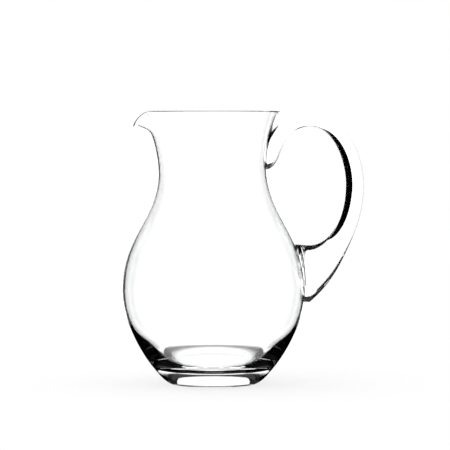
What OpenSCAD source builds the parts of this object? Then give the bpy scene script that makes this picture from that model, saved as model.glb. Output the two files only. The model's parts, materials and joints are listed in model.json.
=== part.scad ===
// Beer pitcher: a blown clear glass jug with a pulled pouring lip and an applied glass handle.
// Sizes are in millimetres. The origin is on the jug's axis in the plane it stands on, +Z is up,
// the pouring lip points to -X and the handle to +X.

/* [Body] */
// Height of the rim above the table
body_h = 230; // [180:1:300]
// Outer diameter of the belly
belly_d = 155; // [120:1:200]
// Height of the widest part of the belly
belly_z = 79; // [60:1:100]
// Outer diameter of the neck at its waist
neck_d = 90; // [65:1:110]
// Distance of the waist below the rim
neck_drop = 47; // [38:1:60]
// Outer diameter of the rim
rim_d = 112; // [96:1:140]
// Lean of the wall at the rim, away from upright
rim_flare = 34; // [10:1:45]
// Outer diameter of the foot, where the wall starts to rise
foot_d = 68; // [60:1:95]
// Diameter of the hollow under the foot
punt_d = 64; // [40:1:66]
// Depth of that hollow
punt_depth = 1.3; // [0.5:0.1:4]

/* [Glass] */
// Thickness of the glass at the rim and neck
neck_wall = 2; // [1.6:0.1:4]
// Thickness of the glass at the belly
belly_wall = 2.5; // [2:0.1:6]
// Height of the heel, from where the glass thickens towards the base
heel_z = 36; // [26:1:46]
// Thickness of the glass at the heel, measured level
heel_wall = 3.7; // [2.5:0.1:6]
// Lean of the inside at the heel, away from upright
heel_lean = 37; // [30:1:42]
// Diameter of the floor inside
floor_d = 77; // [50:1:84]
// Height of the floor's middle, which is the thickness of the base above the table
base_t = 10; // [8:0.5:20]
// How far the floor rises from its middle to its edge
floor_dish = 3; // [0.5:0.1:5]

/* [Pouring lip] */
// Part of the neck that is drawn out towards the lip, as an angle about the axis
draw_angle = 78; // [60:1:120]
// How far the rim is drawn out there
draw_out = 5; // [0:0.1:10]
// Width of the lip itself, as an angle about the axis
lip_angle = 36; // [24:1:60]
// Height of wall that is bent over into the lip
lip_len = 20.5; // [14:0.5:28]
// How far the lip is bent outwards
lip_bend = 42; // [15:1:55]
// Length of the bend
lip_crease = 5; // [2:0.5:8]
// Length left of the bent wall in the middle of the lip, as a share
lip_shrink = 0.8; // [0.6:0.02:1]

/* [Handle] */
// Reach of the handle past the belly
handle_reach = 49; // [40:1:70]
// Distance of the handle's top below the rim
handle_drop = 3.5; // [0:0.5:12]
// Thickness of the handle over the top
handle_top_t = 9.5; // [7:0.5:14]
// Thickness of the handle at the grip
handle_grip_t = 15.5; // [11:0.5:22]
// Width of the handle over the top and the grip
handle_w = 16; // [10:0.5:24]
// Height of the finger gap
gap_h = 100; // [85:1:115]
// Width of the finger gap, taken as a full ellipse
gap_w = 60; // [50:1:70]
// Height of the pad that is stuck to the belly
pad_h = 48; // [30:1:56]
// Width of that pad
pad_w = 27; // [18:1:40]
// Thickness of the upper end before it is pressed on to the neck
tail_t = 17; // [12:0.5:24]
// Width of the upper end
tail_w = 20; // [14:0.5:30]
// Where the upper end stops, as an angle round the finger gap
tail_angle = 162; // [145:1:170]

/* [Hidden] */
$fn = 96;

belly_r = belly_d / 2;
neck_r = neck_d / 2;
neck_z = body_h - neck_drop;
rim_r = rim_d / 2;
foot_r = foot_d / 2;
punt_r = min(punt_d / 2, foot_r - 1);
shoulder_h = neck_z - belly_z;

// Steps along one curve of the profile, over the rounded rim and round the handle
curve_steps = 14;
bead_steps = 4;
handle_sides = 24;
handle_turn = 5;

// Where on the shoulder the plain turned bowl ends and the drawn neck begins
collar_start = 0.6;
// The neck reaches this far down into the bowl's wall, and this much inside its faces, so that they join
collar_lap = 3;
seam = 0.2;

// Directions round the neck: fine steps near the lip, which is at 0, and wider ones elsewhere
lip_side = 45;
collar_turns = concat(
    [for (a = [-lip_side : 2.5 : lip_side - 2.5]) a],
    [for (a = [lip_side : 5 : 355 - lip_side]) a]
);

// The finger gap is an ellipse about this middle, and the handle is the glass round it
loop_x = belly_r + handle_reach - handle_grip_t - gap_w / 2;
loop_z = body_h - handle_drop - handle_top_t - gap_h / 2;
// Rounding of the upper end, and the stretch that carries the pad into the belly
tail_round = 5;
root_len = 24;
root_flare = 4;

function mix(a, b, k) = a + (b - a) * k;
function clamp(v) = min(max(v, 0), 1);
function ease(v) = clamp(v) * clamp(v) * (3 - 2 * clamp(v));
function unit(v) = v / norm(v);
function leaning(a) = [sin(a), cos(a)];
function backwards(list) = [for (i = [len(list) - 1 : -1 : 0]) list[i]];
function past_first(list) = [for (i = [1 : len(list) - 1]) list[i]];

// A curve with two end points and two points that pull it, and its direction
function curve(p, t) =
    pow(1 - t, 3) * p[0] + 3 * pow(1 - t, 2) * t * p[1] + 3 * (1 - t) * t * t * p[2] + pow(t, 3) * p[3];
function heading(p, t) = unit(curve(p, t + 0.001) - curve(p, t - 0.001));
function stretch(p, from, to, steps = curve_steps) =
    [for (i = [0 : steps]) curve(p, mix(from, to, i / steps))];
// Share of a rising curve at which it reaches a height
function share_at(p, z, low = 0, high = 1) =
    let (half = (low + high) / 2)
    high - low < 0.0001 ? half :
    curve(p, half)[1] < z ? share_at(p, z, half, high) : share_at(p, z, low, half);

// Outer profile as [radius, height]: foot to belly, belly to waist, waist to rim
wall_curve = [
    [foot_r, 0],
    [mix(foot_r, belly_r, 0.26), 0],
    [belly_r, 0.56 * belly_z],
    [belly_r, belly_z]
];
shoulder_curve = [
    [belly_r, belly_z],
    [belly_r, belly_z + 0.44 * shoulder_h],
    [neck_r, neck_z - 0.375 * shoulder_h],
    [neck_r, neck_z]
];
rim_end = [rim_r, body_h - neck_wall / 2];
rim_curve = [
    [neck_r, neck_z],
    [neck_r, neck_z + 0.5 * neck_drop],
    rim_end - 0.12 * neck_drop * leaning(rim_flare),
    rim_end
];

// The inside follows the outside at the glass's thickness, measured level across a leaning wall
function level_wall(p, t, wall) = wall / heading(p, t)[1];
function lining(p, from, to, wall_from, wall_to, steps = curve_steps) =
    [for (i = [0 : steps])
        let (t = mix(from, to, i / steps), wall = mix(wall_from, wall_to, t))
        curve(p, t) - [level_wall(p, t, wall), 0]];

// Inside of the bowl: from the belly to the heel, from there to the floor's edge, and over the dished floor
function wall_r(z) = curve(wall_curve, share_at(wall_curve, z))[0];
heel = [wall_r(heel_z) - heel_wall, heel_z];
heel_way = leaning(heel_lean);
edge_z = base_t + floor_dish;
edge_r = min(floor_d / 2, wall_r(edge_z) - 2 * heel_wall);
edge_way = [1, 2 * floor_dish / edge_r];
belly_lining = [
    [belly_r - belly_wall, belly_z],
    [belly_r - belly_wall, mix(belly_z, heel_z, 0.3)],
    heel + 0.33 * (belly_z - heel_z) * heel_way,
    heel
];
heel_lining = [
    heel,
    heel - 0.4 * (heel_z - edge_z) * heel_way,
    [edge_r, edge_z] + 0.06 * (heel[0] - edge_r) * edge_way,
    [edge_r, edge_z]
];
floor_lining = [
    [edge_r, edge_z],
    [edge_r, edge_z] - edge_r / 3 * edge_way,
    [edge_r / 3, base_t],
    [0, base_t]
];

bowl_outside = concat(
    stretch(wall_curve, 0, 1),
    past_first(stretch(shoulder_curve, 0, collar_start))
);
bowl_inside = concat(
    backwards(lining(shoulder_curve, 0, collar_start, belly_wall, neck_wall)),
    past_first(stretch(belly_lining, 0, 1)),
    past_first(stretch(heel_lining, 0, 1)),
    past_first(stretch(floor_lining, 0, 1, curve_steps / 2))
);

// The hollow under the foot is a shallow cap of a large ball
punt_ball = (punt_r * punt_r + punt_depth * punt_depth) / (2 * punt_depth);

// Section of the neck: up the outside, over the rounded rim and down the inside
collar_z = curve(shoulder_curve, collar_start)[1];
lap_share = share_at(shoulder_curve, collar_z - collar_lap);
neck_outside = concat(
    [curve(shoulder_curve, lap_share) - [seam, 0]],
    past_first(stretch(shoulder_curve, collar_start, 1, curve_steps / 2)),
    past_first(stretch(rim_curve, 0, 1))
);
neck_inside = concat(
    [lining(shoulder_curve, lap_share, 1, belly_wall, neck_wall)[0] + [seam, 0]],
    past_first(lining(shoulder_curve, collar_start, 1, belly_wall, neck_wall, curve_steps / 2)),
    past_first(lining(rim_curve, 0, 1, neck_wall, neck_wall))
);
bead_r = level_wall(rim_curve, 1, neck_wall) / 2;
rim_bead = [for (i = [1 : bead_steps - 1])
    let (a = 180 * i / bead_steps)
    rim_end + [bead_r * (cos(a) - 1), neck_wall / 2 * sin(a)]];
neck_section = concat(neck_outside, rim_bead, backwards(neck_inside));

// The neck is drawn out towards the lip, more and more up to the rim
function bell(turn, angle) =
    let (off = min(abs(turn), 360 - abs(turn)))
    off < angle / 2 ? (1 + cos(360 * off / angle)) / 2 : 0;
function drawn(p, turn) =
    p + [draw_out * bell(turn, draw_angle) * ease((p[1] - collar_z) / (body_h - collar_z)), 0];

// The lip is wall bent outwards round a crease, most in its middle and not at all at its ends
lip_share = share_at(rim_curve, body_h - lip_len);
lip_up = heading(rim_curve, lip_share);
lip_out = [lip_up[1], -lip_up[0]];
function bend(s, a) =
    let (ball = lip_crease / (a * PI / 180), turn = a * clamp(s / lip_crease), over = max(s - lip_crease, 0))
    [ball * sin(turn) + over * cos(a), ball * (1 - cos(turn)) + over * sin(a), turn];
function lipped(p, turn) =
    let (
        k = bell(turn, lip_angle),
        foot = drawn(curve(rim_curve, lip_share), turn),
        q = drawn(p, turn),
        s = (q - foot) * lip_up,
        n = (q - foot) * lip_out
    )
    s <= 0 || k < 0.01 ? q :
    let (b = bend(s * mix(1, lip_shrink, k), lip_bend * k))
    foot + lip_up * (b[0] - n * sin(b[2])) + lip_out * (b[1] + n * cos(b[2]));

// A skin over rings of points, either round and back to the first ring or with both ends closed
module skin(rings, round) {
    n = len(rings);
    m = len(rings[0]);
    sides = [for (i = [0 : n - (round ? 1 : 2)], j = [0 : m - 1])
        let (a = i * m, b = (i + 1) % n * m, k = (j + 1) % m)
        each [[a + j, b + j, b + k], [a + j, b + k, a + k]]];
    ends = round ? [] : [[for (j = [0 : m - 1]) j], [for (j = [m - 1 : -1 : 0]) (n - 1) * m + j]];
    polyhedron(points = [for (ring = rings) each ring], faces = concat(sides, ends), convexity = 8);
}

module turned_bowl() {
    rotate_extrude()
        polygon(concat(bowl_outside, bowl_inside, [[0, 0]]));
}

module drawn_neck() {
    skin([for (turn = collar_turns)
        [for (p = neck_section)
            let (q = lipped(p, turn))
            [-q[0] * cos(turn), q[0] * sin(turn), q[1]]]], true);
}

// The whole outside of the jug without its lip, which the handle is pressed against
module outside() {
    rotate_extrude()
        polygon(concat(bowl_outside, past_first(neck_outside), [[0, rim_end[1]], [0, 0]]));
}

module glass_body() {
    color([0.84, 0.92, 0.93, 0.55])
        difference() {
            union() {
                turned_bowl();
                drawn_neck();
            }
            translate([0, 0, punt_depth - punt_ball])
                sphere(punt_ball);
        }
}

// Sections of the handle: ellipses of glass outside the finger gap, thickest where they are stuck on
function loop_at(a) = [loop_x + gap_w / 2 * cos(a), loop_z + gap_h / 2 * sin(a)];
function loop_out(a) = unit([cos(a) / gap_w, sin(a) / gap_h]);
function swell(a, top, grip, pad, tail) =
    a > 90 ? mix(top, tail, pow(-cos(a), 1.4)) :
    a > 0 ? mix(top, grip, pow(cos(a), 1.4)) :
    mix(grip, pad, pow(-a / 90, 4.5));
function thick_at(a) = swell(a, handle_top_t, handle_grip_t, pad_h, tail_t);
function width_at(a) = swell(a, handle_w, handle_w, pad_w, tail_w);
function middle_at(a) = loop_at(a) + loop_out(a) * thick_at(a) / 2;
function section(middle, out, thick, width) =
    [for (j = [0 : handle_sides - 1])
        let (b = 360 * j / handle_sides, p = middle + out * cos(b) * thick / 2)
        [p[0], -sin(b) * width / 2, p[1]]];

function loop_section(a) = section(middle_at(a), loop_out(a), thick_at(a), width_at(a));
function tail_section(k) =
    let (a = tail_angle, out = loop_out(a), along = [-out[1], out[0]])
    section(middle_at(a) + along * tail_round * sin(k), out, thick_at(a) * cos(k), width_at(a) * cos(k));
function root_section(k) =
    let (flare = 2 * root_flare * k * k)
    section([loop_x - root_len * k, loop_z - gap_h / 2 - pad_h / 2], [0, -1], pad_h + flare, pad_w + flare);

handle_rings = concat(
    [for (k = [80 : -20 : 20]) tail_section(k)],
    [for (a = [tail_angle : -handle_turn : -86]) loop_section(a)],
    [for (k = [0 : 0.2 : 1]) root_section(k)]
);

module handle() {
    color([0.80, 0.90, 0.92, 0.6])
        difference() {
            skin(handle_rings, false);
            outside();
        }
}

glass_body();
handle();
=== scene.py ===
# %% [markdown]
# # A blown glass beer pitcher
# The real jug is two pieces of clear glass. The body was blown as one bubble, opened at the rim and pulled out
# into a pouring lip, and the handle is a thick rod of hot glass that was pressed on afterwards.
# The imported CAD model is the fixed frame: it gives the place and the size of both pieces, in metres, with the
# jug's axis on Z, the lip towards -X and the handle towards +X. This lesson rebuilds the two pieces with a finer
# surface, because glass bends light and shows every flat facet, and then gives them their finish and their light.

# %% Load the fixed frame
import bmesh
import bpy
import json
import math
from mathutils import Matrix, Vector

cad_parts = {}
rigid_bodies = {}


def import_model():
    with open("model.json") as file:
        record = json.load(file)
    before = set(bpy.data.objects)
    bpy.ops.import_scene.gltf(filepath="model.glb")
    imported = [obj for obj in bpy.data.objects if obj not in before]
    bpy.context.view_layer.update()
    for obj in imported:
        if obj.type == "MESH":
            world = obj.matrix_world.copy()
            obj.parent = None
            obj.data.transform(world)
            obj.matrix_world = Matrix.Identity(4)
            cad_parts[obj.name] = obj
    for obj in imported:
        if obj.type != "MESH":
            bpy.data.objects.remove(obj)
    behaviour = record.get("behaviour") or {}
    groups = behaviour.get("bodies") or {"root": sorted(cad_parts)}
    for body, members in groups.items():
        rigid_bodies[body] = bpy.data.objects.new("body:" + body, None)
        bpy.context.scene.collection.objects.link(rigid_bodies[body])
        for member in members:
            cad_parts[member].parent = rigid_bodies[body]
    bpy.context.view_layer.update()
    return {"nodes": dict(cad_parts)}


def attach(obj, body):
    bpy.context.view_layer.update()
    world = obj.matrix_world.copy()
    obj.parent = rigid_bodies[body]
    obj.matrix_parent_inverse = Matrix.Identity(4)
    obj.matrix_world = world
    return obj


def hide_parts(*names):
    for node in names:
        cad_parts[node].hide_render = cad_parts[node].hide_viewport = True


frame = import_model()
print("CAD nodes:", ", ".join(sorted(frame["nodes"])))

# %% [markdown]
# ## Camera
# A product photograph like this is taken from far away with a long lens, so that the rim looks like one straight
# line and the base shows only a thin ellipse. The camera stands level with the rim, 2.4 m in front of the axis,
# and looks down a little. A camera in Blender looks along its own -Z, so it is turned up by 90 degrees less that
# tilt.

# %% Camera level with the rim
MM = 0.001
BODY_H = 230 * MM
LENS = 227.7
SENSOR_W = 36.0
SIGHT_END = 50.0
CAMERA_X = 9.6 * MM
CAMERA_AWAY = 2395 * MM
CAMERA_TILT = 2.297
camera_data = bpy.data.cameras.new("photo_camera")
camera_data.lens = LENS
camera_data.sensor_width = SENSOR_W
camera_data.clip_end = SIGHT_END
camera = bpy.data.objects.new("photo_camera", camera_data)
camera.location = (CAMERA_X, -CAMERA_AWAY, BODY_H)
camera.rotation_euler = (math.radians(90.0 - CAMERA_TILT), 0.0, 0.0)
bpy.context.collection.objects.link(camera)
bpy.context.scene.camera = camera
print("Camera", round(-camera.location.y, 3), "m in front, lens", camera_data.lens, "mm")

# %% [markdown]
# ## The outline of the body
# A jug that was blown and turned is the same all round, so its shape is one outline, and the natural way to draw it
# is a Bezier curve with two handles at each point. The curve runs from the hollow under the foot, out to the belly,
# in at the waist and out to the rim, over the rounded edge, and back down the inside to the floor of the jug.
# A list of typed points would do too, but then the smoothness would hang on how well they were typed.
# The inside of the base is thicker here than in the CAD model. It can't be measured in a photograph, so it was
# chosen by looking at the dark patches that a thick base draws.

# %% Sizes of the body
BELLY_R = 77.5 * MM
BELLY_Z = 79 * MM
NECK_R = 45 * MM
NECK_Z = 183 * MM
RIM_R = 56 * MM
RIM_LEAN = math.radians(34)
BEAD = 0.8 * MM
FOOT_R = 34 * MM
PUNT_R = 27 * MM
PUNT_DEPTH = 0.35 * MM
NECK_WALL = 2.0 * MM
BELLY_WALL = 2.5 * MM
HEEL_Z = 42.55 * MM
HEEL_WALL = 3.285 * MM
HEEL_LEAN = math.radians(31.3)
BASE_T = 17.6 * MM
FLOOR_R = 43.5 * MM
FLOOR_DISH = 1.15 * MM
SHOULDER_H = NECK_Z - BELLY_Z
FLARE_H = BODY_H - NECK_Z
RIM_EDGE_Z = BODY_H - NECK_WALL / 2
LEVEL_WALL = NECK_WALL / math.cos(RIM_LEAN)
print("Wall at the rim, measured level:", round(LEVEL_WALL / MM, 2), "mm")

# %% Helpers for curves
HALVINGS = 30


def mix(a, b, share):
    return a + (b - a) * share


def bezier(points, share):
    rest = 1 - share
    weights = (rest ** 3, 3 * rest * rest * share, 3 * rest * share * share, share ** 3)
    return sum((Vector(p) * w for p, w in zip(points, weights)), Vector((0, 0)))


def share_at(points, height):
    """The share of a rising curve at which it reaches a height."""
    low, high = 0.0, 1.0
    for halving in range(HALVINGS):
        half = (low + high) / 2
        low, high = (half, high) if bezier(points, half).y < height else (low, half)
    return low


print("Half way up a straight curve:", bezier([(0, 0), (0, 1), (0, 2), (0, 3)], 0.5).y)

# %% Points of the outside as (place, handle before, handle after)
FOOT_LEVEL = 2 * MM
FOOT_PULL = 0.26
BELLY_LOW = 0.56
BELLY_PULL = 0.44
WAIST_LOW_PULL = 0.375
WAIST_PULL = 0.5
RIM_PULL = 0.12
lean = Vector((math.sin(RIM_LEAN), math.cos(RIM_LEAN)))
rim_outer = Vector((RIM_R, RIM_EDGE_Z))
rim_inner = rim_outer - Vector((LEVEL_WALL, 0))
rim_top = Vector((RIM_R - LEVEL_WALL / 2, BODY_H))
foot = ((FOOT_R, 0), (FOOT_R - FOOT_LEVEL, 0), (mix(FOOT_R, BELLY_R, FOOT_PULL), 0))
belly = ((BELLY_R, BELLY_Z), (BELLY_R, BELLY_LOW * BELLY_Z), (BELLY_R, BELLY_Z + BELLY_PULL * SHOULDER_H))
waist = ((NECK_R, NECK_Z), (NECK_R, NECK_Z - WAIST_LOW_PULL * SHOULDER_H),
         (NECK_R, NECK_Z + WAIST_PULL * FLARE_H))
rim = (rim_outer, rim_outer - RIM_PULL * FLARE_H * lean, rim_outer + BEAD * lean)
outside_points = [foot, belly, waist, rim]
print("Outside drawn with", len(outside_points), "points")

# %% The rounded rim and the inside of the neck and belly
WAIST_IN_PULL = 0.36
BELLY_IN_PULL = 0.455
BELLY_IN_LOW_PULL = 0.3
bead = (rim_top, rim_top + Vector((BEAD, 0)), rim_top - Vector((BEAD, 0)))
rim_in = (rim_inner, rim_inner + BEAD * lean, rim_inner - RIM_PULL * FLARE_H * lean)
waist_in_r = NECK_R - NECK_WALL
belly_in_r = BELLY_R - BELLY_WALL
waist_in = ((waist_in_r, NECK_Z), (waist_in_r, NECK_Z + WAIST_PULL * FLARE_H),
            (waist_in_r, NECK_Z - WAIST_IN_PULL * SHOULDER_H))
belly_in = ((belly_in_r, BELLY_Z), (belly_in_r, BELLY_Z + BELLY_IN_PULL * SHOULDER_H),
            (belly_in_r, mix(BELLY_Z, HEEL_Z, BELLY_IN_LOW_PULL)))
print("Radius inside the waist", round(waist_in_r / MM, 1), "mm, inside the belly", round(belly_in_r / MM, 1), "mm")

# %% The inside of the base and the hollow under the foot
HEEL_PULL = 0.33
HEEL_LOW_PULL = 0.415
EDGE_PULL = 0.142
wall = [foot[0], foot[2], belly[1], belly[0]]
heel = bezier(wall, share_at(wall, HEEL_Z)) - Vector((HEEL_WALL, 0))
heel_way = Vector((math.sin(HEEL_LEAN), math.cos(HEEL_LEAN)))
edge = Vector((FLOOR_R, BASE_T + FLOOR_DISH))
edge_way = Vector((1, 2 * FLOOR_DISH / FLOOR_R))
heel_in = (heel, heel + HEEL_PULL * (BELLY_Z - HEEL_Z) * heel_way,
           heel - HEEL_LOW_PULL * (HEEL_Z - edge.y) * heel_way)
floor_in = (edge, edge + EDGE_PULL * (heel.x - edge.x) * edge_way, edge - FLOOR_R / 3 * edge_way)
floor_middle = ((0, BASE_T), (FLOOR_R / 3, BASE_T), (0, BASE_T))
punt_middle = ((0, PUNT_DEPTH), (0, PUNT_DEPTH), (PUNT_R / 3, PUNT_DEPTH))
punt_edge = ((PUNT_R, 0), (PUNT_R * 2 / 3, PUNT_DEPTH * 2 / 3), (PUNT_R + FOOT_LEVEL, 0))
body_points = [punt_middle, punt_edge] + outside_points
body_points += [bead, rim_in, waist_in, belly_in, heel_in, floor_in, floor_middle]
print("Whole section drawn with", len(body_points), "points, heel at radius", round(heel.x / MM, 1), "mm")

# %% [markdown]
# ## Spinning the outline
# A lathe would turn this outline round the axis, and the bmesh operator for that is spin. It leaves many copies of
# the two end points on the axis, so doubles are merged, and then the normals are recalculated so that all the faces
# of the closed wall look outwards. The spin gets 320 steps: light that goes through glass magnifies each flat facet.

# %% From outline to turned shell
STEPS_ALONG = 16
STEPS_ROUND = 320
MERGE = 1e-6


def outline_mesh(name, points):
    curve = bpy.data.curves.new(name, "CURVE")
    curve.dimensions = "3D"
    curve.resolution_u = STEPS_ALONG
    spline = curve.splines.new("BEZIER")
    spline.bezier_points.add(len(points) - 1)
    for knot, (place, before, after) in zip(spline.bezier_points, points):
        knot.handle_left_type = knot.handle_right_type = "FREE"
        knot.co = (place[0], 0, place[1])
        knot.handle_left = (before[0], 0, before[1])
        knot.handle_right = (after[0], 0, after[1])
    drawn = bpy.data.objects.new(name, curve)
    mesh = bpy.data.meshes.new_from_object(drawn)
    bpy.data.objects.remove(drawn)
    return mesh


def turned_shell(name, points):
    bm = bmesh.new()
    bm.from_mesh(outline_mesh(name, points))
    bmesh.ops.remove_doubles(bm, verts=bm.verts[:], dist=MERGE)
    bmesh.ops.spin(bm, geom=bm.verts[:] + bm.edges[:], cent=(0, 0, 0), axis=(0, 0, 1),
                   angle=2 * math.pi, steps=STEPS_ROUND, use_merge=True)
    bmesh.ops.remove_doubles(bm, verts=bm.verts[:], dist=MERGE)
    bmesh.ops.recalc_face_normals(bm, faces=bm.faces[:])
    return bm


body_bm = turned_shell("body_outline", body_points)
print("Turned body:", len(body_bm.verts), "points,", len(body_bm.faces), "faces")

# %% [markdown]
# ## Drawing out the neck and bending the lip
# On the real jug the maker softens one side of the rim and pulls it, first outwards as a gentle bulge of the neck and
# then over a tool as a narrow spout. Both are moves of the wall, not new shapes, so the points of the turned body
# are moved in two steps. A bell-shaped weight fades each move out to both sides of the lip.

# %% Weights of the two moves
DRAW_ANGLE = math.radians(78)
DRAW_OUT = 5 * MM
COLLAR_SHARE = 0.6
LIP_ANGLE = math.radians(44)
LIP_LEN = 23 * MM
LIP_BEND = math.radians(42)
LIP_CREASE = 8 * MM
LIP_SHRINK = 0.8
LEAST_WEIGHT = 1e-4


def bell(turn, angle):
    return (1 + math.cos(2 * math.pi * abs(turn) / angle)) / 2 if abs(turn) < angle / 2 else 0.0


shoulder = [belly[0], belly[2], waist[1], waist[0]]
flare = [waist[0], waist[2], rim[1], rim[0]]
COLLAR_Z = bezier(shoulder, COLLAR_SHARE).y
print("The neck is drawn out from", round(COLLAR_Z / MM, 1), "mm up to the rim")

# %% Where the lip is hinged
NUDGE = 0.001
hinge_share = share_at(flare, BODY_H - LIP_LEN)
hinge = bezier(flare, hinge_share)
lip_up = (bezier(flare, hinge_share + NUDGE) - bezier(flare, hinge_share - NUDGE)).normalized()
lip_out = Vector((lip_up.y, -lip_up.x))
print("Lip hinged at radius", round(hinge.x / MM, 1), "mm, height", round(hinge.y / MM, 1), "mm")

# %% The two moves
def drawn_out(place, turn):
    rise = min(max((place.y - COLLAR_Z) / (BODY_H - COLLAR_Z), 0.0), 1.0)
    return place + Vector((DRAW_OUT * bell(turn, DRAW_ANGLE) * rise * rise * (3 - 2 * rise), 0))


def bent_over(place, turn):
    weight = bell(turn, LIP_ANGLE)
    moved = drawn_out(place, turn)
    corner = drawn_out(hinge, turn)
    along = (moved - corner).dot(lip_up)
    across = (moved - corner).dot(lip_out)
    if along <= 0 or weight < LEAST_WEIGHT:
        return moved
    bend = LIP_BEND * weight
    along *= mix(1, LIP_SHRINK, weight)
    turned = bend * min(along / LIP_CREASE, 1)
    straight = max(along - LIP_CREASE, 0)
    reach = LIP_CREASE / bend
    up = reach * math.sin(turned) + straight * math.cos(bend)
    out = reach * (1 - math.cos(turned)) + straight * math.sin(bend)
    return (corner + lip_up * (up - across * math.sin(turned)) + lip_out * (out + across * math.cos(turned)))


lip_reach = 0.0
for vert in body_bm.verts:
    radius = math.hypot(vert.co.x, vert.co.y)
    if vert.co.z > COLLAR_Z and radius > 0:
        turn = math.atan2(vert.co.y, -vert.co.x)
        place = bent_over(Vector((radius, vert.co.z)), turn)
        vert.co = (-place.x * math.cos(turn), place.x * math.sin(turn), place.y)
        lip_reach = max(lip_reach, place.x)
print("The lip reaches", round(lip_reach / MM, 1), "mm from the axis")

# %% [markdown]
# ## The handle
# The real handle is a rod of soft glass, dropped on to the belly as a thick pad, pulled up and over in a loop, and
# pressed on to the neck with its blunt end. It is thick at the pad, round at the grip and thin over the top.
# The way to build that is to start from one circle and extrude it again and again along the loop, and to fit each new
# ring to its place with one matrix. A curve with a bevel would keep the same section all along.

# %% Sizes of the handle
GAP_W = 60 * MM
GAP_H = 100 * MM
GRIP_T = 15.5 * MM
TOP_T = 9.5 * MM
PAD_H = 48 * MM
PAD_W = 27 * MM
PAD_SPREAD = 6 * MM
PAD_FLARE = 8 * MM
ROOT_LEN = 24 * MM
TAIL_T = 19 * MM
TAIL_W = 17 * MM
TAIL_ROUND = 15 * MM
TAIL_ANGLE = 150
HANDLE_W = 16 * MM
HANDLE_REACH = 49 * MM
UNDER_RIM = 3.5 * MM
LOOP_X = BELLY_R + HANDLE_REACH - GRIP_T - GAP_W / 2
LOOP_Z = BODY_H - UNDER_RIM - TOP_T - GAP_H / 2
print("Middle of the finger gap at x", round(LOOP_X / MM, 1), "mm, z", round(LOOP_Z / MM, 1), "mm")

# %% One ring of the handle
ROD_SWELL = 1.4
PAD_SWELL = 4.5


def swell(angle, top, grip, pad, tail):
    if angle > 90:
        return mix(top, tail, (-math.cos(math.radians(angle))) ** ROD_SWELL)
    if angle > 0:
        return mix(top, grip, math.cos(math.radians(angle)) ** ROD_SWELL)
    return mix(grip, pad, (-angle / 90) ** PAD_SWELL)


def ring(x, z, out, thick, width):
    """The matrix that puts a unit circle on the loop, with its own X along out and its own Y across the handle."""
    columns = (Vector((out.x * thick / 2, 0, out.y * thick / 2)), Vector((0, width / 2, 0)),
               Vector((-out.y, 0, out.x)), Vector((x, 0, z)))
    return Matrix([[column[row] for column in columns] for row in range(3)] + [[0, 0, 0, 1]])


def loop_ring(angle, cap=0.0):
    turn = math.radians(angle)
    out = Vector((math.cos(turn) / GAP_W, math.sin(turn) / GAP_H)).normalized()
    thick = swell(angle, TOP_T, GRIP_T, PAD_H, TAIL_T)
    width = swell(angle, HANDLE_W, HANDLE_W, PAD_W, TAIL_W)
    past = TAIL_ROUND * math.sin(cap)
    x = LOOP_X + GAP_W / 2 * math.cos(turn) + out.x * thick / 2 - out.y * past
    z = LOOP_Z + GAP_H / 2 * math.sin(turn) + out.y * thick / 2 + out.x * past
    return ring(x, z, out, thick * math.cos(cap), width * math.cos(cap))


top_ring = loop_ring(90)
print("Top of the handle at", round((top_ring.translation.z + TOP_T / 2) / MM, 1), "mm")

# %% All the rings, from the tail to the pad
SPREAD_RATE = 2.5
CAP_FROM = 85
CAP_STEP = 10
LOOP_STEP = 1.5
LOOP_RINGS = round((TAIL_ANGLE + 90) / LOOP_STEP)
ROOT_RINGS = 10


def root_ring(share):
    """The pad's seat: it spreads sideways just before it meets the wall, as a soft gather does."""
    spread = PAD_SPREAD * min(1, SPREAD_RATE * share) ** 2
    return ring(LOOP_X - ROOT_LEN * share, LOOP_Z - GAP_H / 2 - PAD_H / 2, Vector((0, -1)),
                PAD_H + PAD_FLARE * share * share, PAD_W + spread)


rings = [loop_ring(TAIL_ANGLE, math.radians(cap)) for cap in range(CAP_FROM, 0, -CAP_STEP)]
rings += [loop_ring(TAIL_ANGLE - LOOP_STEP * step) for step in range(LOOP_RINGS)]
rings += [root_ring(step / ROOT_RINGS) for step in range(ROOT_RINGS + 1)]
print("Handle of", len(rings), "rings")

# %% Extruding ring after ring
ROD_SIDES = 64
handle_bm = bmesh.new()
first = bmesh.ops.create_circle(handle_bm, cap_ends=True, radius=1.0, segments=ROD_SIDES)
bmesh.ops.transform(handle_bm, matrix=rings[0], verts=first["verts"])
edges = handle_bm.edges[:]
for before, after in zip(rings, rings[1:]):
    made = bmesh.ops.extrude_edge_only(handle_bm, edges=edges)["geom"]
    verts = [part for part in made if isinstance(part, bmesh.types.BMVert)]
    edges = [part for part in made
             if isinstance(part, bmesh.types.BMEdge) and all(v in verts for v in part.verts)]
    bmesh.ops.transform(handle_bm, matrix=after @ before.inverted(), verts=verts)
bmesh.ops.contextual_create(handle_bm, geom=edges)
bmesh.ops.recalc_face_normals(handle_bm, faces=handle_bm.faces[:])
print("Handle rod:", len(handle_bm.verts), "points,", len(handle_bm.faces), "faces")

# %% [markdown]
# ## Shader maths
# A finish is a tree of nodes. Writing it as sums and products is easier to read than a list of links, so one small
# class holds a socket and turns Python's operators into Math nodes. Every other kind of node comes from make().

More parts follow.
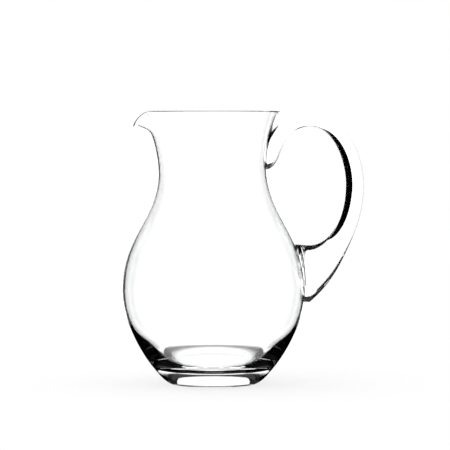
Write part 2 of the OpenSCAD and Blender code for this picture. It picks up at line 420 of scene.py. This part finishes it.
# %% Sockets with arithmetic
class Wire:
    """One output socket of a node tree, or only the tree to start from."""

    def __init__(self, tree, socket=None):
        self.tree = tree
        self.socket = socket

    def make(self, kind, settings=None, values=None, out=0):
        node = self.tree.nodes.new(kind)
        for name, value in (settings or {}).items():
            setattr(node, name, value)
        for name, value in (values or {}).items():
            if isinstance(value, Wire):
                self.tree.links.new(value.socket, node.inputs[name])
            else:
                node.inputs[name].default_value = value
        return Wire(self.tree, node.outputs[out] if node.outputs else None)

    def maths(self, operation, first, second=0.0):
        return self.make("ShaderNodeMath", {"operation": operation}, {0: first, 1: second})

    def __add__(self, other):
        return self.maths("ADD", self, other)

    def __sub__(self, other):
        return self.maths("SUBTRACT", self, other)

    def __rsub__(self, other):
        return self.maths("SUBTRACT", other, self)

    def __mul__(self, other):
        return self.maths("MULTIPLY", self, other)

    __radd__ = __add__
    __rmul__ = __mul__

    def __lt__(self, other):
        return self.maths("LESS_THAN", self, other)

    def __gt__(self, other):
        return self.maths("GREATER_THAN", self, other)

    def larger(self, other):
        return self.maths("MAXIMUM", self, other)

    def without_sign(self):
        return self.maths("ABSOLUTE", self)


print("Shader maths ready")

# %% An empty material
def fresh_material(name):
    material = bpy.data.materials.new(name)
    material.use_nodes = True
    material.node_tree.nodes.clear()
    return material, Wire(material.node_tree)


print("Materials start without nodes")

# %% [markdown]
# ## Clear glass
# Soda-lime glass bends light with an index of about 1.52 and is almost without colour, with a breath of green in thick
# places. Blown glass is never quite even: the wall carries long soft waves from the turning and the surface a faint
# haze of handling. A single clean glass shader looks like plastic, so the waves go into the normal and the haze into
# the roughness, both far too faint to see as a pattern.

# %% Glass finish
GLASS_INDEX = 1.52
GREEN_TINT = (0.984, 0.992, 0.988, 1)
CLEAR_TINT = (0.992, 0.997, 0.994, 1)
WAVE_STRETCH = (1.0, 1.0, 0.45)
WAVE_DETAIL = 1.0
HANDLED_SCALE = 90.0
HANDLED_DETAIL = 3.0
HAZE = 0.012
MIX_A, MIX_B, MIX_COLOUR = 6, 7, 2


def glass_finish(name, wave_scale, wave_height):
    material, tree = fresh_material(name)
    place = tree.make("ShaderNodeTexCoord", out="Object")
    stretched = tree.make("ShaderNodeMapping", values={"Vector": place, "Scale": WAVE_STRETCH})
    waves = tree.make("ShaderNodeTexNoise", values={
        "Vector": stretched, "Scale": wave_scale, "Detail": WAVE_DETAIL})
    handled = tree.make("ShaderNodeTexNoise", values={
        "Vector": place, "Scale": HANDLED_SCALE, "Detail": HANDLED_DETAIL})
    normal = tree.make("ShaderNodeBump", values={"Height": waves, "Strength": 1.0, "Distance": wave_height})
    haze = handled * handled * HAZE
    tint = tree.make("ShaderNodeMix", {"data_type": "RGBA"},
                     {0: waves, MIX_A: GREEN_TINT, MIX_B: CLEAR_TINT}, out=MIX_COLOUR)
    shader = tree.make("ShaderNodeBsdfPrincipled", values={
        "Base Color": tint, "Roughness": haze, "IOR": GLASS_INDEX, "Transmission Weight": 1.0, "Normal": normal})
    tree.make("ShaderNodeOutputMaterial", values={"Surface": shader})
    return material


body_glass = glass_finish("blown_glass", wave_scale=22.0, wave_height=0.00002)
handle_glass = glass_finish("pulled_glass", wave_scale=34.0, wave_height=0.00003)
print("Glass finishes:", body_glass.name, handle_glass.name)

# %% [markdown]
# ## The weld
# The hot handle melts into the wall, so between the two there is no surface left that could bend light. The two pieces
# stay separate closed solids here, and the faces where they touch get a finish that lets light straight through.

# %% Weld finish
weld, tree = fresh_material("weld")
clear = tree.make("ShaderNodeBsdfTransparent", values={"Color": (1, 1, 1, 1)})
tree.make("ShaderNodeOutputMaterial", values={"Surface": clear})
print("Weld finish:", weld.name)

# %% [markdown]
# ## Cutting the handle to the body
# The rod's ends run into the body, so a Boolean takes away all that lies inside the jug's outside. The cutter
# is turned from the same outline with the same number of steps, so the cut ends fit the wall point for point.
# The cutter carries the weld finish, and a Boolean that transfers materials leaves it on the cut ends.

# %% Objects from the meshes
def piece_object(name, bm, *finishes):
    mesh = bpy.data.meshes.new(name)
    bm.to_mesh(mesh)
    bm.free()
    for finish in finishes:
        mesh.materials.append(finish)
    piece = bpy.data.objects.new(name, mesh)
    bpy.context.collection.objects.link(piece)
    return piece


def combined(piece, other, operation):
    step = piece.modifiers.new("combine", "BOOLEAN")
    step.operation = operation
    step.object = other
    step.solver = "EXACT"
    step.material_mode = "TRANSFER"
    bpy.context.view_layer.update()
    mesh = bpy.data.meshes.new_from_object(piece.evaluated_get(bpy.context.evaluated_depsgraph_get()))
    piece.modifiers.remove(step)
    return mesh


rod = piece_object("rod", handle_bm, handle_glass)
print("Rod before the cut:", len(rod.data.polygons), "faces")

# %% Cutting the rod
centre_bottom = ((0, 0), (0, 0), (FOOT_R / 2, 0))
centre_top = ((0, RIM_EDGE_Z), (RIM_R / 2, RIM_EDGE_Z), (0, RIM_EDGE_Z))
rim_stop = (rim[0], rim[1], rim[0])
outside_bm = turned_shell("outside", [centre_bottom] + outside_points[:-1] + [rim_stop, centre_top])
cutter = piece_object("cutter", outside_bm, weld)
handle_mesh = combined(rod, cutter, "DIFFERENCE")
handle_mesh.name = "handle"
print("Handle cut to the body:", len(handle_mesh.polygons), "faces, finishes",
      [m.name for m in handle_mesh.materials])

# %% [markdown]
# ## Marking the weld on the body
# The body needs the same two patches. Its part outside the rod and its part inside the rod are made with two
# Booleans, the faces that come from the rod are dropped, and the halves are merged again. That leaves the body as it
# was, with the outline of the handle cut into its skin, and the patch on the outer skin becomes weld.

# %% The body outside and inside the rod
marker = bpy.data.materials.new("marker")
rod.data.materials.clear()
rod.data.materials.append(marker)
whole = piece_object("whole", body_bm, body_glass, weld)


def body_part(operation):
    """One half of the body as a mesh without the rod's own faces, with glass as finish 0 and weld as finish 1."""
    part = combined(whole, rod, operation)
    names = [m.name for m in part.materials]
    bm = bmesh.new()
    bm.from_mesh(part)
    rod_faces = [f for f in bm.faces if names[f.material_index] == marker.name]
    bmesh.ops.delete(bm, geom=rod_faces, context="FACES")
    for face in bm.faces:
        middle = face.calc_center_median()
        outward = middle.x * face.normal.x + middle.y * face.normal.y > 0
        face.material_index = 1 if operation == "INTERSECT" and outward else 0
    bm.to_mesh(part)
    bm.free()
    return part


print("Body before the patches:", len(whole.data.polygons), "faces")

# %% Patches on the body
PATCH_MERGE = 2e-7
MM2 = MM * MM
patched = bmesh.new()
for operation in ("DIFFERENCE", "INTERSECT"):
    patched.from_mesh(body_part(operation))
bmesh.ops.remove_doubles(patched, verts=patched.verts[:], dist=PATCH_MERGE)
open_edges = [e for e in patched.edges if len(e.link_faces) != 2]
weld_area = sum(f.calc_area() for f in patched.faces if f.material_index == 1)
print("Body with weld patches:", len(patched.faces), "faces, open edges", len(open_edges),
      "weld", round(weld_area / MM2), "mm2")

# %% Final pieces
glass_body = piece_object("glass_body_clear", patched, body_glass, weld)
glass_body.data.shade_smooth()
handle = bpy.data.objects.new("handle_clear", handle_mesh)
bpy.context.collection.objects.link(handle)
handle_mesh.shade_smooth()
for helper in (cutter, rod, whole):
    bpy.data.objects.remove(helper)
for piece, node in ((glass_body, "glass_body"), (handle, "handle")):
    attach(piece, "root")
    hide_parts(node)
print("Pieces:", glass_body.name, handle.name)

# %% [markdown]
# ## Studio
# Glass has no colour of its own: it shows what stands behind and beside it, bent and mirrored. Glassware is often
# photographed before a bright card that is hardly wider than the picture, with darkness beside it. Rays that leave
# the glass sideways meet the dark, and that draws black edges. Lamps would only add bright spots.
# The camera itself sees white paper all round, so the card and the dark are shown to no rays but those that come out
# of the glass, and the Light Path node tells these apart. A real studio can't do that: it is a painter's means, and
# it was chosen to suit the photograph's view.

# %% Sorting the rays
RAY_FACTS = ("Is Camera Ray", "Is Glossy Ray", "Is Transmission Ray",
             "Diffuse Depth", "Glossy Depth", "Transmission Depth")
ANY = 0.5
OVER_THREE_FACES = 3.5


def sorted_rays(tree):
    node = tree.make("ShaderNodeLightPath").socket.node
    camera_ray, glossy_ray, bent_ray, scattered, mirrored, faces_passed = (
        Wire(tree.tree, node.outputs[name]) for name in RAY_FACTS)
    return {"plain": camera_ray + scattered > ANY,
            "from_glass": (glossy_ray + bent_ray > ANY) * (scattered < ANY),
            "straight": mirrored < ANY,
            "both_walls": faces_passed > OVER_THREE_FACES}


def axes(tree, coordinates):
    node = tree.make("ShaderNodeSeparateXYZ", values={0: coordinates}).socket.node
    return [Wire(tree.tree, output) for output in node.outputs]


print("Rays are sorted into plain ones and those out of the glass, and these by mirroring and by walls passed")

# %% [markdown]
# ## Paper
# The floor is white paper. For the camera it has a soft shadow in it: one part of its white is paint that the sky
# lights, and the rest shines by itself, so that the shadow stays as faint as in the photograph. For rays out of the
# glass the paper is painted light and painted dark: it glows in a strip that runs back to the card. Rays that no face
# has mirrored also see it glow all round, but for a dark sector at the right back, and those that came through both
# walls of the jug see it glow there too. Round the foot a soft ring of painted shade darkens it for the rays out of
# the glass alone, because the photograph shows a grey ring in the thick base.

# %% Light of the paper, in metres and shares of white
PAPER_LIT = 0.35
PAPER_WHITE = 1.2
STRIP_HALF = 0.045
STRIP_WIDENS = 0.3
STRIP_FROM = 0.035
EDGE_X = 0.17
EDGE_WIDENS = 0.22
RIGHT_WIDENS = 0.4
CARD_Y = 0.4
CARD_LIGHT = 1.5
# Size and depth of the ring of painted shade round the foot.
SHADE_RING_R = 0.043
SHADE_RING_HALF = 0.011
SHADE_RING_DEPTH = 0.92
print("Paper with a white strip", round(2 * STRIP_HALF, 3), "m wide behind the jug")

# %% Floor
FLOOR_W = 8.0


def plane(name, size_x, size_y, matrix):
    bm = bmesh.new()
    flat = Matrix.Diagonal((size_x, size_y, 1, 1))
    bmesh.ops.create_grid(bm, x_segments=1, y_segments=1, size=0.5, matrix=matrix @ flat)
    stage_piece = piece_object(name, bm)
    return stage_piece


floor = plane("floor", FLOOR_W, FLOOR_W, Matrix.Identity(4))
print("Floor", FLOOR_W, "m wide")

# %% What the glass sees of the paper
paper, tree = fresh_material("white_paper")
rays = sorted_rays(tree)
x, y = axes(tree, tree.make("ShaderNodeTexCoord", out="Object"))[:2]
back = y.larger(0.0)
# Painted light and painted dark: for rays out of the glass the paper glows in the strip and beside the jug, and is
# dark elsewhere.
strip = (x.without_sign() < STRIP_HALF + STRIP_WIDENS * back) * (y > STRIP_FROM) * (y < CARD_Y)
beside = (x < EDGE_X + EDGE_WIDENS * back).larger(y < RIGHT_WIDENS * x).larger(rays["both_walls"])
lit_paper = (strip * CARD_LIGHT).larger(rays["straight"] * beside * PAPER_WHITE)
# Painted shade: a soft dark ring round the foot darkens what rays out of the glass see of the paper.
from_shade_ring = (tree.maths("SQRT", x * x + y * y) - SHADE_RING_R).without_sign()
painted_shade_ring = tree.make("ShaderNodeMapRange", {"interpolation_type": "SMOOTHSTEP"}, {
    "Value": from_shade_ring, "From Min": 0.0, "From Max": SHADE_RING_HALF, "To Min": 1.0, "To Max": 0.0})
shown = lit_paper * (1 - SHADE_RING_DEPTH * painted_shade_ring)
print("Ring painted", round(2 * SHADE_RING_R, 3), "m across")

# %% Paper finish
painted = tree.make("ShaderNodeBsdfDiffuse", values={"Color": (PAPER_LIT, PAPER_LIT, PAPER_LIT, 1)})
shining = tree.make("ShaderNodeEmission", values={"Color": (1, 1, 1, 1), "Strength": 1 - PAPER_LIT})
to_camera = tree.make("ShaderNodeAddShader", values={0: painted, 1: shining})
to_glass = tree.make("ShaderNodeEmission", values={"Color": shown, "Strength": 1.0})
surface = tree.make("ShaderNodeMixShader", values={0: rays["from_glass"], 1: to_camera, 2: to_glass})
tree.make("ShaderNodeOutputMaterial", values={"Surface": surface})
floor.data.materials.append(paper)
print("Paper finish:", paper.name)

# %% Bright card behind the jug
CARD_W = 0.4
CARD_H = 0.39
upright = Matrix.Translation((0, CARD_Y, CARD_H / 2)) @ Matrix.Rotation(math.radians(90), 4, "X")
card = plane("card", CARD_W, CARD_H, upright)
lit, tree = fresh_material("lit_card")
glow = tree.make("ShaderNodeEmission", values={"Color": (1, 1, 1, 1), "Strength": CARD_LIGHT})
tree.make("ShaderNodeOutputMaterial", values={"Surface": glow})
card.data.materials.append(lit)
card.visible_camera = False
card.visible_diffuse = False
card.visible_shadow = False
print("Card", CARD_W, "m wide and", CARD_Y, "m behind the axis")

# %% [markdown]
# ## Sky
# The world is white for the camera and for the light on the paper. For rays out of the glass it is mostly dark. Those
# that no face has mirrored find it bright to the left and far to the right, which keeps the outer edge of the handle
# as faint as it is in the photograph, and bright all round once they came through both walls. High up it is a very
# dark grey. Every limit below is a part of the ray's own direction, from -1 to 1.

# %% World
SIDE_LEFT = -0.3
SIDE_RIGHT = 0.9
SIDE_TOP = 0.8
SIDE_LIGHT = 1.2
TOP_FROM = 0.4
TOP_LIGHT = 0.05
world = bpy.data.worlds.new("studio")
bpy.context.scene.world = world
world.use_nodes = True
world.node_tree.nodes.clear()
tree = Wire(world.node_tree)
rays = sorted_rays(tree)
x, z = axes(tree, tree.make("ShaderNodeTexCoord", out="Generated"))[::2]
beside = (x < SIDE_LEFT).larger(x > SIDE_RIGHT).larger(rays["both_walls"])
sides = beside * (z < SIDE_TOP) * rays["straight"]
bright = rays["plain"].larger(sides * SIDE_LIGHT).larger((z > TOP_FROM) * TOP_LIGHT)
sky = tree.make("ShaderNodeBackground", values={"Color": bright, "Strength": 1.0})
tree.make("ShaderNodeOutputWorld", values={"Surface": sky})
print("Sky: white to the camera, and bright at the sides of the glass")

# %% [markdown]
# ## Bounces of light
# A ray through the jug passes four faces of glass, and many more where it is caught inside the base or the handle.
# Blender stops a ray after a number of bounces and paints it black, so the numbers are set well above its own.

# %% Render settings
BOUNCES = 32
MIRROR_BOUNCES = 16
scene = bpy.context.scene
scene.view_settings.view_transform = "Standard"
scene.cycles.max_bounces = BOUNCES
scene.cycles.transmission_bounces = BOUNCES
scene.cycles.glossy_bounces = MIRROR_BOUNCES
scene.cycles.transparent_max_bounces = BOUNCES
print("Light bounces", BOUNCES, "times at most, and", MIRROR_BOUNCES, "times from mirroring faces")
